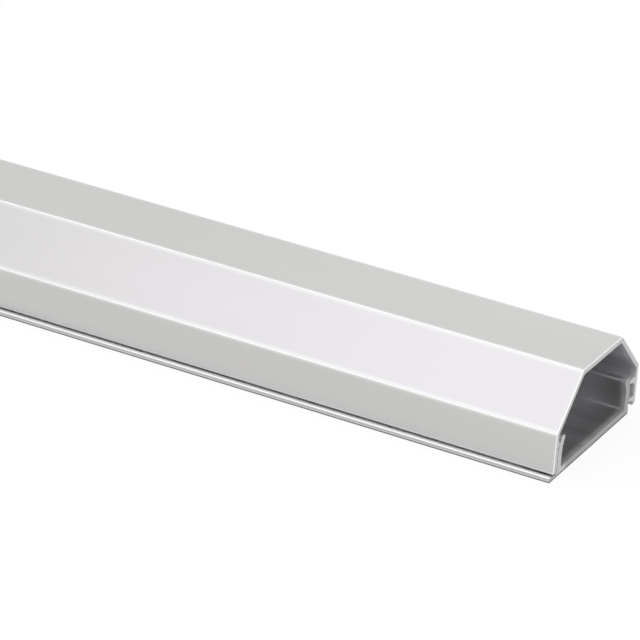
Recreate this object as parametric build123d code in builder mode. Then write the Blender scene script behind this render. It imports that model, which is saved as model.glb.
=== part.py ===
from build123d import *
import os

# A two-piece angular cord cover raceway in extruded aluminium: a flat base tray with two clip
# legs, and a cover with upright sides, two slopes and a flat top that clips over the legs.
# X runs along the length, Y across, Z up. The origin is the middle of the underside.

# Overall sizes in millimetres
length = 1100.0           # one stock length
cover_width = 50.0        # across the outer faces of the cover's two sides
height = 26.0             # underside of the base to top of the cover
side_height = 13.0        # underside to the bend between a side and its slope
slope_run = 13.0          # how far each slope reaches in, across the width

# Cover
cover_wall = 1.5          # thickness of sides, slopes and top
bend_radius = 1.1         # outside of the four bends
inner_bend_radius = 0.4   # inside of the four bends
edge_radius = 0.3         # lower edges of the two sides
rib_top = 9.9             # top of the two ribs that bear on the legs
rib_thickness = 1.3
rib_web = 1.4             # leg of the triangular web below the far rib

# Base
floor_thickness = 2.0
lip_reach = 2.4           # how far the lip stands out past the cover's near side
lip_thickness = 0.9       # where it passes under the cover's near side
bead_width = 0.9          # the bead along the outer edge of the lip
bead_rise = 0.65          # how far the lip slopes up from the cover's side to the bead
bead_outer_radius = 0.5
bead_inner_radius = 0.3
lip_radius = 0.3          # lower outer corner of the lip
leg_thickness = 2.4
leg_bend = 7.6            # height at which a leg starts to lean inward
leg_top = 11.2
leg_lean = 1.5            # how far the tip of a leg leans inward
leg_tip_radius = 0.9
barb_bottom = 4.4         # underside of the barb on the outside of a leg
barb_depth = 0.4
notch_height = 1.4        # straight part of the notch below the barb
root_radius = 0.5         # inside corners between the legs and the floor

# Fits
slide_gap = 0.2           # running gap between the cover and the legs
lip_gap = 0.4             # between the cover's near lower edge and the lip under it
far_recess = 2.7          # extra room between the far side and its leg
nose_height = 0.6         # flat of a hook's nose
ramp_height = 1.0         # drop of the ramp from the nose to the cover's side

near_face = -(cover_width - lip_reach) / 2
far_face = (cover_width + lip_reach) / 2
cover_edge = lip_thickness + lip_gap
near_leg_inset = cover_wall + slide_gap
far_leg_inset = near_leg_inset + far_recess


def near(inset, z):
    """A section point, measured inward from the cover's near outer face."""
    return (near_face + inset, z)


def far(inset, z):
    """A section point, measured inward from the cover's far outer face."""
    return (far_face - inset, z)


def lean_at(z):
    """How far a leg has leaned inward at a height above its bend."""
    return leg_lean * (z - leg_bend) / (leg_top - leg_bend)


def leg_outline(side, inset):
    """A clip leg: a notch, a barb above it, and a tip that leans inward."""
    return [
        side(inset, 0),
        side(inset, floor_thickness),
        side(inset + barb_depth, barb_bottom - notch_height),
        side(inset + barb_depth, barb_bottom),
        side(inset, barb_bottom + barb_depth),
        side(inset, leg_bend),
        side(inset + leg_lean, leg_top),
        side(inset + leg_lean + leg_thickness, leg_top),
        side(inset + leg_thickness, leg_bend),
        side(inset + leg_thickness, 0),
    ]


def rib_outline(side, inset):
    """A rib from the middle of a side's wall to just short of the leaning leg."""
    rib_bottom = rib_top - rib_thickness
    return [
        side(cover_wall / 2, rib_top),
        side(inset + lean_at(rib_top) - slide_gap, rib_top),
        side(inset + lean_at(rib_bottom) - slide_gap, rib_bottom),
        side(cover_wall / 2, rib_bottom),
    ]


def hook_outline(side, inset):
    """A hook whose nose sits in the leg's notch, with a lead-in ramp below it."""
    hook_top = barb_bottom - slide_gap
    nose = inset + barb_depth - slide_gap
    ramp_foot = hook_top - nose_height - ramp_height
    return [
        side(cover_wall / 2, hook_top),
        side(nose, hook_top),
        side(nose, hook_top - nose_height),
        side(cover_wall, ramp_foot),
        side(cover_wall / 2, ramp_foot),
    ]


def round_corners(section, points, radius):
    """Rounds the section's corner nearest to each point."""
    for point in points:
        fillet(section.vertices().sort_by_distance(point)[0], radius)


# Both sections are drawn on the plane of the stock's -X end and run one length along X.
end_plane = Plane.YZ.offset(-length / 2)

with BuildSketch(end_plane) as base_section:
    bead_top = lip_thickness + bead_rise
    Polygon(
        near(-lip_reach, 0),
        near(-lip_reach, bead_top),
        near(bead_width - lip_reach, bead_top),
        near(0, lip_thickness),
        near(near_leg_inset, lip_thickness),
        near(near_leg_inset, floor_thickness),
        far(far_leg_inset, floor_thickness),
        far(far_leg_inset, 0),
        align=None,
    )
    for side, inset in ((near, near_leg_inset), (far, far_leg_inset)):
        Polygon(*leg_outline(side, inset), align=None)
    for side, inset in ((near, near_leg_inset), (far, far_leg_inset)):
        tip = inset + leg_lean
        round_corners(base_section, [side(inset + leg_thickness, floor_thickness)], root_radius)
        round_corners(base_section, [side(tip, leg_top), side(tip + leg_thickness, leg_top)], leg_tip_radius)
    round_corners(base_section, [near(-lip_reach, bead_top)], bead_outer_radius)
    round_corners(base_section, [near(bead_width - lip_reach, bead_top)], bead_inner_radius)
    round_corners(base_section, [near(-lip_reach, 0)], lip_radius)

with BuildPart() as base_tray:
    extrude(base_section.sketch, amount=length)
base_tray.part.label = "base_tray"


with BuildSketch(end_plane) as cover_section:
    closing_edge = cover_edge - cover_wall
    Polygon(
        near(0, closing_edge),
        near(0, side_height),
        near(slope_run, height),
        far(slope_run, height),
        far(0, side_height),
        far(0, closing_edge),
        align=None,
    )
    offset(amount=-cover_wall, kind=Kind.INTERSECTION, mode=Mode.SUBTRACT)
    Polygon(
        near(0, closing_edge),
        near(0, cover_edge),
        far(0, cover_edge),
        far(0, closing_edge),
        align=None,
        mode=Mode.SUBTRACT,
    )
    for side, inset in ((near, near_leg_inset), (far, far_leg_inset)):
        Polygon(*rib_outline(side, inset), align=None)
        Polygon(*hook_outline(side, inset), align=None)
    web_top = rib_top - rib_thickness
    Polygon(
        far(cover_wall / 2, web_top),
        far(cover_wall + rib_web, web_top),
        far(cover_wall, web_top - rib_web),
        far(cover_wall / 2, web_top - rib_web),
        align=None,
    )
    for side in (near, far):
        bends = [side(0, side_height), side(slope_run, height)]
        inner_bends = [side(cover_wall, side_height), side(slope_run, height - cover_wall)]
        round_corners(cover_section, inner_bends, inner_bend_radius)
        round_corners(cover_section, bends, bend_radius)
        round_corners(cover_section, [side(0, cover_edge)], edge_radius)

with BuildPart() as cover:
    extrude(cover_section.sketch, amount=length)
cover.part.label = "cover"

os.makedirs("parts", exist_ok=True)
export_step(base_tray.part, "parts/base_tray.step")
export_step(cover.part, "parts/cover.step")
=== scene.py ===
from math import radians, tan

import bmesh
import bpy
from mathutils import Euler, Matrix, Vector


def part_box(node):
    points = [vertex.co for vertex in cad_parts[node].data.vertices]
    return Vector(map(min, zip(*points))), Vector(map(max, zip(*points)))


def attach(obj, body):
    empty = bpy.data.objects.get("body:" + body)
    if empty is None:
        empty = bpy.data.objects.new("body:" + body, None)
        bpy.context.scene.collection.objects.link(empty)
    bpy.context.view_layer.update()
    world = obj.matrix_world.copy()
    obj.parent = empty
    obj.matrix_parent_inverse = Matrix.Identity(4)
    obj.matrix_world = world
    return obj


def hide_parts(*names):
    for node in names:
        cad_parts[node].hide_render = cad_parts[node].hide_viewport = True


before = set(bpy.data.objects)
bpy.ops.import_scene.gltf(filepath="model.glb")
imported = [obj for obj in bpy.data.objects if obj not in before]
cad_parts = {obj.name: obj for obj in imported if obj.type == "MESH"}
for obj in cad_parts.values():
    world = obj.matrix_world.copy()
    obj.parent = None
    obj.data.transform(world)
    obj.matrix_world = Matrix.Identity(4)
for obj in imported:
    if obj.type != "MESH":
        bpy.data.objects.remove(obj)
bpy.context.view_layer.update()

# The base tray: a flat floor, a beaded lip along its near edge and two springy clip legs.
# It is one aluminium extrusion, etched and anodised to a satin silver. Tape or screws
# hold it to the wall, and it is sawn square at both ends with the cover already on.
MM = 0.001
tray_low, tray_high = (Vector(corner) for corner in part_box("base_tray"))
cover_low, cover_high = (Vector(corner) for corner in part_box("cover"))
length = tray_high.x - tray_low.x
near_face = cover_low.y
far_face = cover_high.y
half_width = (far_face - near_face) / 2
middle = (far_face + near_face) / 2
lip_nose = near_face - tray_low.y
lip_thickness = 0.9 * MM
lip_radius = 0.3 * MM
die_line_low = 0.46 * MM
die_line_high = 0.96 * MM
die_line_depth = 0.10 * MM
bead_width = 0.9 * MM
bead_top = lip_thickness + 0.65 * MM
bead_outer_radius = 0.5 * MM
bead_inner_radius = 0.3 * MM
floor_thickness = 2.0 * MM
root_radius = 0.5 * MM
leg_thickness = 2.4 * MM
leg_bend = 7.6 * MM
leg_bend_radius = 5.0 * MM
leg_lean = 1.5 * MM
leg_top = tray_high.z
leg_tip_radius = 0.9 * MM
barb_bottom = 4.4 * MM
barb_depth = 0.4 * MM
barb_radius = 0.12 * MM
notch_height = 1.4 * MM
cover_wall = 1.5 * MM
slide_gap = 0.2 * MM
near_leg_inset = cover_wall + slide_gap
far_leg_inset = far_face - tray_high.y
arc_steps = 6
sawn_edge = 0.24 * MM
deburr_steps = 3
crease = radians(33)
corner_strip = 0.28 * MM        # a channel face narrower than this belongs to a corner
end_facing = 0.9                # a normal's share along X, past which a face is a sawn end
up_facing = 0.5                 # a normal's share along Z, past which a lip face is its top
down_facing = -0.99             # a normal's share along Z on the back
most_points = 10000             # more than any section has
OUTSIDE, CHANNEL, CORNER, SAWN, DEBURRED, LIP_TOP, CONTACT_SHADOW = range(7)      # slots for finishes


def near(inset, z):
    """A section point, measured inward from the cover's near outer face."""
    return Vector((near_face + inset, z))


def far(inset, z):
    """A section point, measured inward from the cover's far outer face."""
    return Vector((far_face - inset, z))


def leg_outline(side, inset):
    """One clip leg from its outside foot, over the tip, to its inside foot: (point, radius)."""
    return [
        (side(inset, floor_thickness), 0),
        (side(inset + barb_depth, barb_bottom - notch_height), 0),
        (side(inset + barb_depth, barb_bottom), 0),
        (side(inset, barb_bottom + barb_depth), barb_radius),
        (side(inset, leg_bend), leg_bend_radius),
        (side(inset + leg_lean, leg_top), leg_tip_radius),
        (side(inset + leg_lean + leg_thickness, leg_top), leg_tip_radius),
        (side(inset + leg_thickness, leg_bend), leg_bend_radius),
        (side(inset + leg_thickness, floor_thickness), root_radius),
    ]


def by_points(item):
    """A number that puts edges or faces in the order of their points, the same each run."""
    points = [vert.index for vert in item.verts]
    return max(points) * most_points + min(points)


def extrusion(name, outline, finishes, covered_above):
    """Runs a rounded section from end to end of the stock and deburrs its sawn edges."""
    shape = bmesh.new()
    corners = [shape.verts.new((tray_low.x, *point)) for point, radius in outline]
    shape.faces.new(corners)
    for i, (point, radius) in enumerate(outline):
        if radius:
            after = outline[(i + 1) % len(outline)][0]
            turn = (point - outline[i - 1][0]).angle(after - point)
            bmesh.ops.bevel(
                shape, geom=[corners[i]], offset=radius * tan(turn / 2), segments=arc_steps,
                profile=0.5, affect="VERTICES", clamp_overlap=False, material=-1)
    run = bmesh.ops.extrude_face_region(shape, geom=shape.faces[:])
    far_end = [item for item in run["geom"] if isinstance(item, bmesh.types.BMVert)]
    bmesh.ops.translate(shape, verts=far_end, vec=(length, 0, 0))
    bmesh.ops.recalc_face_normals(shape, faces=shape.faces[:])
    shape.verts.index_update()
    for items in (shape.edges, shape.faces):        # extruding leaves them in any order
        items.sort(key=by_points)

    sawn, outside = [], []
    for face in shape.faces:
        centre = face.calc_center_median()
        inward = Vector((0, middle - centre.y, leg_top - centre.z))
        on_lip = centre.y < near_face
        if abs(face.normal.x) > end_facing:
            sawn.append(face)
            face.material_index = SAWN
        # The lip's upward faces take a much paler finish: a painted highlight on the bead and
        # painted light in its groove.
        elif on_lip and face.normal.z > up_facing:
            face.material_index = LIP_TOP
        elif not on_lip and (face.normal.dot(inward) > 0 or centre.z > covered_above):
            width = face.calc_area() / length
            face.material_index = CORNER if width < corner_strip else CHANNEL
        else:
            outside.append(face)
            # The lip's lowest rounding takes the near-black painted contact shadow.
            face.material_index = CONTACT_SHADOW if 0 < centre.z < lip_radius else OUTSIDE
    rim = [line for line in shape.edges
           if any(face in sawn for face in line.link_faces)
           and any(face in outside for face in line.link_faces)]
    deburred = bmesh.ops.bevel(
        shape, geom=rim, offset=sawn_edge, segments=deburr_steps, profile=0.5, affect="EDGES",
        clamp_overlap=True, material=-1)
    for face in deburred["faces"]:
        # The deburred faces along the bottom take the near-black painted contact shadow.
        low = face.calc_center_median().z < sawn_edge
        face.material_index = CONTACT_SHADOW if low and face.normal.z > down_facing else DEBURRED

    mesh = bpy.data.meshes.new(name)
    shape.to_mesh(mesh)
    shape.free()
    mesh.shade_smooth()
    mesh.set_sharp_from_angle(angle=crease)
    piece = bpy.data.objects.new(name, mesh)
    bpy.context.collection.objects.link(piece)
    for material in finishes:
        mesh.materials.append(material)
    weighting = piece.modifiers.new("flat faces stay flat", "WEIGHTED_NORMAL")
    weighting.keep_sharp = True
    return piece


metal_share = 0.78              # how metallic a face is, where its finish says nothing else
grain_strength = 0.06
grain_relief = 0.02 * MM
stroke_strength = 0.25
stroke_relief = 0.03 * MM
noise_low, noise_high = 0.3, 0.7        # most of a noise's values lie between these
haze_reach = 2.4 * MM
contact_shadow_reach = 0.7 * MM


def nodes_of(material):
    """A material's node tree, and its shader."""
    material.use_nodes = True
    tree = material.node_tree
    return tree, tree.nodes["Principled BSDF"]


def set_inputs(tree, node, inputs):
    """Sets a node's inputs, each to a value or to a link from another node's output."""
    for name, value in inputs.items():
        socket = node.inputs[name]
        if isinstance(value, bpy.types.NodeSocket):
            tree.links.new(value, socket)
        elif socket.type == "RGBA":
            socket.default_value = (*value, 1)
        else:
            socket.default_value = value


def add_node(tree, kind, inputs, operation=None):
    """Adds a node, with its operation if it is a maths node, and sets its inputs."""
    node = tree.nodes.new("ShaderNode" + kind)
    if operation:
        node.operation = operation
    set_inputs(tree, node, inputs)
    return node


def object_place(tree, scale, offset=(0, 0, 0)):
    """Object coordinates, scaled along each axis and then moved."""
    place = add_node(tree, "TexCoord", {})
    mapping = add_node(
        tree, "Mapping", {"Vector": place.outputs["Object"], "Scale": scale, "Location": offset})
    return mapping.outputs["Vector"]


def stretched_noise(tree, scale, detail):
    """Noise over object coordinates, with a scale of its own along X, Y and Z."""
    noise = add_node(
        tree, "TexNoise", {"Vector": object_place(tree, scale), "Scale": 1.0, "Detail": detail})
    return noise.outputs["Fac"]


def spread(tree, noise, low, high):
    """Maps the middle of a noise to the range low to high."""
    ramp = add_node(tree, "MapRange", {
        "Value": noise, "From Min": noise_low, "From Max": noise_high,
        "To Min": low, "To Max": high})
    return ramp.outputs["Result"]


def fade(tree, value, start, end, at_start, at_end):
    """Eases from one number to another while a value goes from start to end."""
    ramp = add_node(tree, "MapRange", {
        "Value": value, "From Min": start, "From Max": end,
        "To Min": at_start, "To Max": at_end})
    ramp.interpolation_type = "SMOOTHSTEP"
    return ramp.outputs["Result"]


def mix_colours(tree, share, first, second):
    """Mixes two colours by the share that the second has."""
    mix = tree.nodes.new("ShaderNodeMix")
    mix.data_type = "RGBA"
    set_inputs(tree, mix, {"Factor": share, "A": first, "B": second})
    return mix.outputs["Result"]


def bump(tree, height, strength, relief, under=None):
    """A bump of a height, on top of another bump if there is one under it."""
    inputs = {"Height": height, "Strength": strength, "Distance": relief}
    if under:
        inputs["Normal"] = under
    return add_node(tree, "Bump", inputs).outputs["Normal"]


def satin_anodised(name, dark, light, rough=(0.28, 0.31), streaks=(9, 70, 70),
                   line_strength=0.015, metallic=metal_share):
    """Etched and anodised aluminium: streaks and die lines along X and a very fine grain."""
    material = bpy.data.materials.new(name)
    tree, shader = nodes_of(material)
    die_lines = stretched_noise(tree, (1.2, 3200, 3200), detail=3)
    patches = stretched_noise(tree, streaks, detail=2)
    grain = stretched_noise(tree, (2600, 5200, 5200), detail=2)
    drawn = bump(tree, die_lines, line_strength, grain_relief)
    set_inputs(tree, shader, {
        "Base Color": mix_colours(tree, spread(tree, patches, 0, 1), dark, light),
        "Metallic": metallic,
        "Roughness": spread(tree, die_lines, *rough),
        "Normal": bump(tree, grain, grain_strength, grain_relief, under=drawn),
    })
    return material


def sawn_aluminium(name, dark, light):
    """Bare metal at the cut: the saw's fine parallel strokes across the section."""
    material = bpy.data.materials.new(name)
    tree, shader = nodes_of(material)
    strokes = stretched_noise(tree, (1, 260, 4200), detail=3)
    set_inputs(tree, shader, {
        "Base Color": mix_colours(tree, spread(tree, strokes, 0, 1), dark, light),
        "Metallic": metal_share,
        "Roughness": spread(tree, strokes, low=0.38, high=0.55),
        "Normal": bump(tree, strokes, stroke_strength, stroke_relief),
    })
    return material


def deburred_aluminium(name, colour):
    """Bright bare metal where the sawn edge is broken, with fine strokes of the file."""
    material = bpy.data.materials.new(name)
    tree, shader = nodes_of(material)
    strokes = stretched_noise(tree, (2400, 700, 700), detail=2)
    set_inputs(tree, shader, {
        "Base Color": colour,
        "Metallic": metal_share,
        "Roughness": spread(tree, strokes, low=0.22, high=0.40),
    })
    return material


def corner_anodised(name):
    """The tight inside corners: a less metallic finish of their own, as painted highlight lines
    along them.
    """
    return satin_anodised(
        name, (0.48, 0.48, 0.50), (0.56, 0.56, 0.58), rough=(0.36, 0.46), metallic=0.60)


def channel_anodised(name, dark, light, metallic, hazed_metallic):
    """The inside of an extrusion: duller, and hazed at both ends by the saw. Its own colours and
    long streaky patches are painted light and painted streaks of reflection.
    """
    material = satin_anodised(
        name, dark, light, rough=(0.34, 0.46), streaks=(1.5, 260, 260), line_strength=0.10)
    tree, shader = nodes_of(material)
    along = add_node(tree, "SeparateXYZ", {"Vector": object_place(tree, (1, 1, 1))})
    from_middle = add_node(tree, "Math", {0: along.outputs["X"]}, "ABSOLUTE").outputs["Value"]
    hazed = fade(
        tree, from_middle, tray_high.x - haze_reach, tray_high.x, metallic, hazed_metallic)
    set_inputs(tree, shader, {"Metallic": hazed})
    return material


def tone_edges(material, edges, colour):
    """Fades a finish to a colour along edges on both sides, for a painted highlight or a painted
    shadow there: (half width, height, reach).
    """
    tree, shader = nodes_of(material)
    across = object_place(tree, (0, 1, 1), (0, -middle, 0))
    both_sides = add_node(tree, "VectorMath", {0: across}, "ABSOLUTE").outputs["Vector"]
    for from_middle, z, reach in edges:
        away = add_node(tree, "VectorMath", {0: both_sides, 1: (0, from_middle, z)}, "DISTANCE")
        share = fade(tree, away.outputs["Value"], 0, reach, at_start=1, at_end=0)
        own_colour = shader.inputs["Base Color"].links[0].from_socket
        set_inputs(tree, shader, {"Base Color": mix_colours(tree, share, own_colour, colour)})


def shade_near(material, axis, point, full, reach, gain):
    """Multiplies a finish's colour by a gain near a plane, given by its axis and a point on it:
    painted shade where the gain is below 1.
    """
    tree, shader = nodes_of(material)
    own_colour = shader.inputs["Base Color"].links[0].from_socket
    away = add_node(tree, "VectorMath", {0: object_place(tree, axis, -Vector(point))}, "LENGTH")
    share = fade(tree, away.outputs["Value"], full, reach, at_start=gain, at_end=1)
    shaded = add_node(tree, "VectorMath", {0: own_colour, "Scale": share}, "SCALE")
    set_inputs(tree, shader, {"Base Color": shaded.outputs["Vector"]})


tray_skin = satin_anodised("tray_satin_anodised", (0.44, 0.436, 0.43), (0.455, 0.451, 0.445))
# Painted contact shadow: the skin fades to near black along the lip's lower edge.
tone_edges(tray_skin, [(half_width + lip_nose, 0, contact_shadow_reach)], (0.02, 0.02, 0.02))
# The tray's inside: paler than its outer skin, with long streaks, as painted light and painted
# reflections.
tray_channel = channel_anodised(
    "tray_channel_anodised", (0.56, 0.557, 0.572), (0.82, 0.817, 0.838),
    metallic=0.90, hazed_metallic=0.22)
# Painted shade: the channel's colour is darkened near both sawn ends.
for end in (tray_low, tray_high):
    shade_near(tray_channel, (1, 0, 0), (end.x, 0, 0), full=2.0 * MM, reach=13.0 * MM, gain=0.55)
tray_corner = corner_anodised("tray_corner_anodised")
tray_cut = sawn_aluminium("tray_sawn_end", (0.30, 0.30, 0.293), (0.38, 0.38, 0.372))
# The sawn end's colour is made lighter across the near leg.
lightened_strip_middle = (0, near_face + 3.0 * MM, 0)
shade_near(tray_cut, (0, 1, 0), lightened_strip_middle, full=2.4 * MM, reach=5.5 * MM, gain=1.5)
# Painted contact shadow: the sawn end is darkened along its bottom edge.
shade_near(tray_cut, (0, 0, 1), (0, 0, 0), full=0.2 * MM, reach=contact_shadow_reach, gain=0.2)
tray_edge = deburred_aluminium("tray_deburred_edge", (0.52, 0.52, 0.51))
# The lip's bead and groove: painted much paler than the skin, as a painted highlight and painted
# light.
tray_lip_highlight_finish = satin_anodised(
    "tray_lip_painted_highlight", (0.76, 0.76, 0.76), (0.81, 0.81, 0.81), metallic=0.8)
# A near-black finish for the lowest faces along the floor: a painted contact shadow.
tray_contact_shadow = satin_anodised("tray_painted_contact_shadow", (0.03, 0.03, 0.03), (0.05, 0.05, 0.05))
tray_outline = [
    (near(-lip_nose, 0), lip_radius),
    (near(-lip_nose, die_line_low), 0),
    (near(die_line_depth - lip_nose, (die_line_low + die_line_high) / 2), 0),
    (near(-lip_nose, die_line_high), 0),
    (near(-lip_nose, bead_top), bead_outer_radius),
    (near(bead_width - lip_nose, bead_top), bead_inner_radius),
    (near(0, lip_thickness), 0),
    (near(near_leg_inset, lip_thickness), 0),
    *leg_outline(near, near_leg_inset),
    *reversed(leg_outline(far, far_leg_inset)),
    (far(far_leg_inset, 0), 0),
]
tray = extrusion(
    "tray_extrusion", tray_outline,
    (tray_skin, tray_channel, tray_corner, tray_cut, tray_edge, tray_lip_highlight_finish, tray_contact_shadow),
    covered_above=cover_low.z)
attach(tray, "base")
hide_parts("base_tray")

# The cover: two upright sides, two slopes and a flat top, with a rib and a hook inside each
# side. It is the second extrusion, in the same satin anodised aluminium, and clips over the
# legs: the ribs bear on them and the hooks catch under their barbs.
height = cover_high.z
cover_edge = cover_low.z
side_height = 13.0 * MM
slope_run = 13.0 * MM
bend_radius = 1.1 * MM
inner_bend_radius = 0.4 * MM
edge_radius = 0.3 * MM
rib_top = 9.9 * MM
rib_thickness = 1.3 * MM
rib_web = 1.4 * MM
nose_height = 0.6 * MM
ramp_height = 1.0 * MM
bend_highlight_reach = 1.3 * MM
edge_highlight_reach = 0.8 * MM
slope = Vector((slope_run, height - side_height))
low_bend = Vector((0, 1)).angle(slope)
high_bend = slope.angle(Vector((1, 0)))


def inner_side(side, inset, web):
    """The inside of one side, from its lower edge up to the top's bend: (point, radius)."""
    rib_bottom = rib_top - rib_thickness
    hook_top = barb_bottom - slide_gap
    nose = inset + barb_depth - slide_gap
    lean = leg_lean / (leg_top - leg_bend)
    tip = inset - slide_gap - lean * leg_bend
    low_corner = side_height - cover_wall * tan(low_bend / 2)
    high_corner = slope_run + cover_wall * tan(high_bend / 2)
    return [
        (side(cover_wall, cover_edge), 0),
        (side(cover_wall, hook_top - nose_height - ramp_height), 0),
        (side(nose, hook_top - nose_height), 0),
        (side(nose, hook_top), 0),
        (side(cover_wall, hook_top), 0),
        (side(cover_wall, rib_bottom - web), 0),
        *([(side(cover_wall + web, rib_bottom), 0)] if web else []),
        (side(tip + lean * rib_bottom, rib_bottom), 0),
        (side(tip + lean * rib_top, rib_top), 0),
        (side(cover_wall, rib_top), 0),
        (side(cover_wall, low_corner), inner_bend_radius),
        (side(high_corner, height - cover_wall), inner_bend_radius),
    ]


def outer_side(side):
    """The outside of one side, from its lower edge up to the top's bend: (point, radius)."""
    return [
        (side(0, cover_edge), edge_radius),
        (side(0, side_height), bend_radius),
        (side(slope_run, height), bend_radius),
    ]


# Painted highlights: the skin grows paler along the two outer bends and the lower edge of each
# side.
painted_highlight_edges = [
    (half_width - slope_run, height, bend_highlight_reach),
    (half_width, side_height, bend_highlight_reach),
    (half_width, cover_edge, edge_highlight_reach),
]
cover_skin = satin_anodised("cover_satin_anodised", (0.54, 0.535, 0.525), (0.555, 0.55, 0.54))
tone_edges(cover_skin, painted_highlight_edges, (0.67, 0.67, 0.66))
# The cover's inside: colours of its own with long streaks, as painted light and painted
# reflections.
cover_channel = channel_anodised(
    "cover_channel_anodised", (0.43, 0.43, 0.45), (0.66, 0.66, 0.69),
    metallic=0.62, hazed_metallic=0.28)
cover_corner = corner_anodised("cover_corner_anodised")
cover_cut = sawn_aluminium("cover_sawn_end", (0.46, 0.46, 0.455), (0.55, 0.55, 0.545))
cover_sawn_edge = deburred_aluminium("cover_deburred_edge", (0.82, 0.82, 0.82))
cover_outline = [
    *outer_side(near),
    *reversed(outer_side(far)),
    *inner_side(far, far_leg_inset, rib_web),
    *reversed(inner_side(near, near_leg_inset, 0)),
]
cover = extrusion(
    "cover_extrusion", cover_outline,
    (cover_skin, cover_channel, cover_corner, cover_cut, cover_sawn_edge),
    covered_above=height + MM)
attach(cover, "cover")
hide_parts("cover")

# The studio floor: a plain white sheet far larger than the stock. The camera and the metal
# see it nearly at full white, and it keeps a soft shadow under the raceway.
floor_size = 12.0
paper_share = 0.88              # how much of the white shows where the paper is seen
floor_mesh = bpy.data.meshes.new("studio_floor")
floor_shape = bmesh.new()
bmesh.ops.create_grid(floor_shape, x_segments=1, y_segments=1, size=floor_size / 2)
floor_shape.to_mesh(floor_mesh)
floor_shape.free()
studio_floor = bpy.data.objects.new("studio_floor", floor_mesh)
bpy.context.collection.objects.link(studio_floor)


def seen_white(tree, share, lit, white):
    """Mixes in a share of white for the rays of the camera, of gloss and of glass."""
    ray = tree.nodes.new("ShaderNodeLightPath").outputs
    seen = add_node(
        tree, "Math", {0: ray["Is Camera Ray"], 1: ray["Is Glossy Ray"]}, "MAXIMUM")
    seen = add_node(
        tree, "Math", {0: seen.outputs["Value"], 1: ray["Is Transmission Ray"]}, "MAXIMUM")
    seen = add_node(tree, "Math", {0: seen.outputs["Value"], 1: share}, "MULTIPLY")
    mix = add_node(tree, "MixShader", {"Fac": seen.outputs["Value"], 1: lit, 2: white})
    return mix.outputs["Shader"]


paper = bpy.data.materials.new("white_paper")
paper_tree, paper_shader = nodes_of(paper)
set_inputs(paper_tree, paper_shader, {
    "Base Color": (0.88, 0.88, 0.88), "Roughness": 0.9, "Specular IOR Level": 0.0})
paper_glow = add_node(paper_tree, "Emission", {"Strength": 1.0})
paper_seen = seen_white(
    paper_tree, paper_share, paper_shader.outputs["BSDF"], paper_glow.outputs["Emission"])
set_inputs(paper_tree, paper_tree.nodes["Material Output"], {"Surface": paper_seen})
floor_mesh.materials.append(paper)

# The light: an even pale studio, a strip overhead for the top, a softbox that the near slope
# mirrors, a low strip in front for the upright side, a faint one behind for the upper bends,
# and a large soft one off the open end that keeps the faces apart from every other side.
world = bpy.data.worlds.new("pale_studio")
bpy.context.scene.world = world
world.use_nodes = True
world_tree = world.node_tree
backdrop = world_tree.nodes["Background"]
set_inputs(world_tree, backdrop, {"Color": (1, 1, 1), "Strength": 1.0})
room_light = add_node(world_tree, "Background", {"Color": (1, 1, 1), "Strength": 0.9})
world_seen = seen_white(
    world_tree, 1.0, room_light.outputs["Background"], backdrop.outputs["Background"])
set_inputs(world_tree, world_tree.nodes["World Output"], {"Surface": world_seen})


def softbox(name, place, target, width, depth, power, colour=(1, 1, 1)):
    """A soft rectangular lamp at a place, facing a target."""
    lamp = bpy.data.lights.new(name, "AREA")
    lamp.shape = "RECTANGLE"
    lamp.size = width
    lamp.size_y = depth
    lamp.energy = power
    lamp.color = colour
    holder = bpy.data.objects.new(name, lamp)
    holder.location = place
    holder.rotation_euler = (Vector(target) - Vector(place)).to_track_quat("-Z", "Y").to_euler()
    bpy.context.collection.objects.link(holder)


near_end = Vector((tray_high.x, near_face, 0))
softbox("overhead_strip", (0.0, 0.37, 1.31), (0, 0, 0), width=1.4, depth=0.5, power=2.6)
softbox("slope_softbox", (0.08, -0.67, 1.2), near_end, width=0.65, depth=0.9, power=1.62,
        colour=(0.90, 0.85, 1.0))
softbox("back_softbox", (0.1, 1.18, 0.65), near_end, width=0.5, depth=0.5, power=0.08)
softbox("front_strip", (0.0, -1.33, 0.40), near_end, width=0.95, depth=0.50, power=1.6)
softbox("end_softbox", (1.3, -0.55, 0.75), near_end, width=1.5, depth=1.3, power=5.0)

# The camera: a long lens from the front right, a little above, with the near end of the
# stock at the right of the frame and the rest running out of it to the left.
frame_px = 640
lens_px = 3869.0
distance = 0.984
heading = radians(26.97)
look_down = radians(25.55)
roll = radians(4.01)
corner_px = (552.34, 479.69)    # where the near end's lower corner shows
middle_px = (frame_px - 1) / 2

camera_data = bpy.data.cameras.new("photo_view")
camera_data.sensor_width = 36.0
camera_data.lens = lens_px / frame_px * camera_data.sensor_width
camera_data.clip_start = 0.01
camera_data.clip_end = 50.0
camera = bpy.data.objects.new("photo_view", camera_data)
bpy.context.collection.objects.link(camera)
turn = Euler((radians(90) - look_down, 0, heading)).to_matrix() @ Matrix.Rotation(roll, 3, "Z")
right, down = ((px - middle_px) / lens_px * distance for px in corner_px)
camera.rotation_euler = turn.to_euler()
camera.location = near_end - turn @ Vector((right, -down, -distance))
bpy.context.scene.camera = camera
bpy.context.scene.view_settings.view_transform = "Standard"
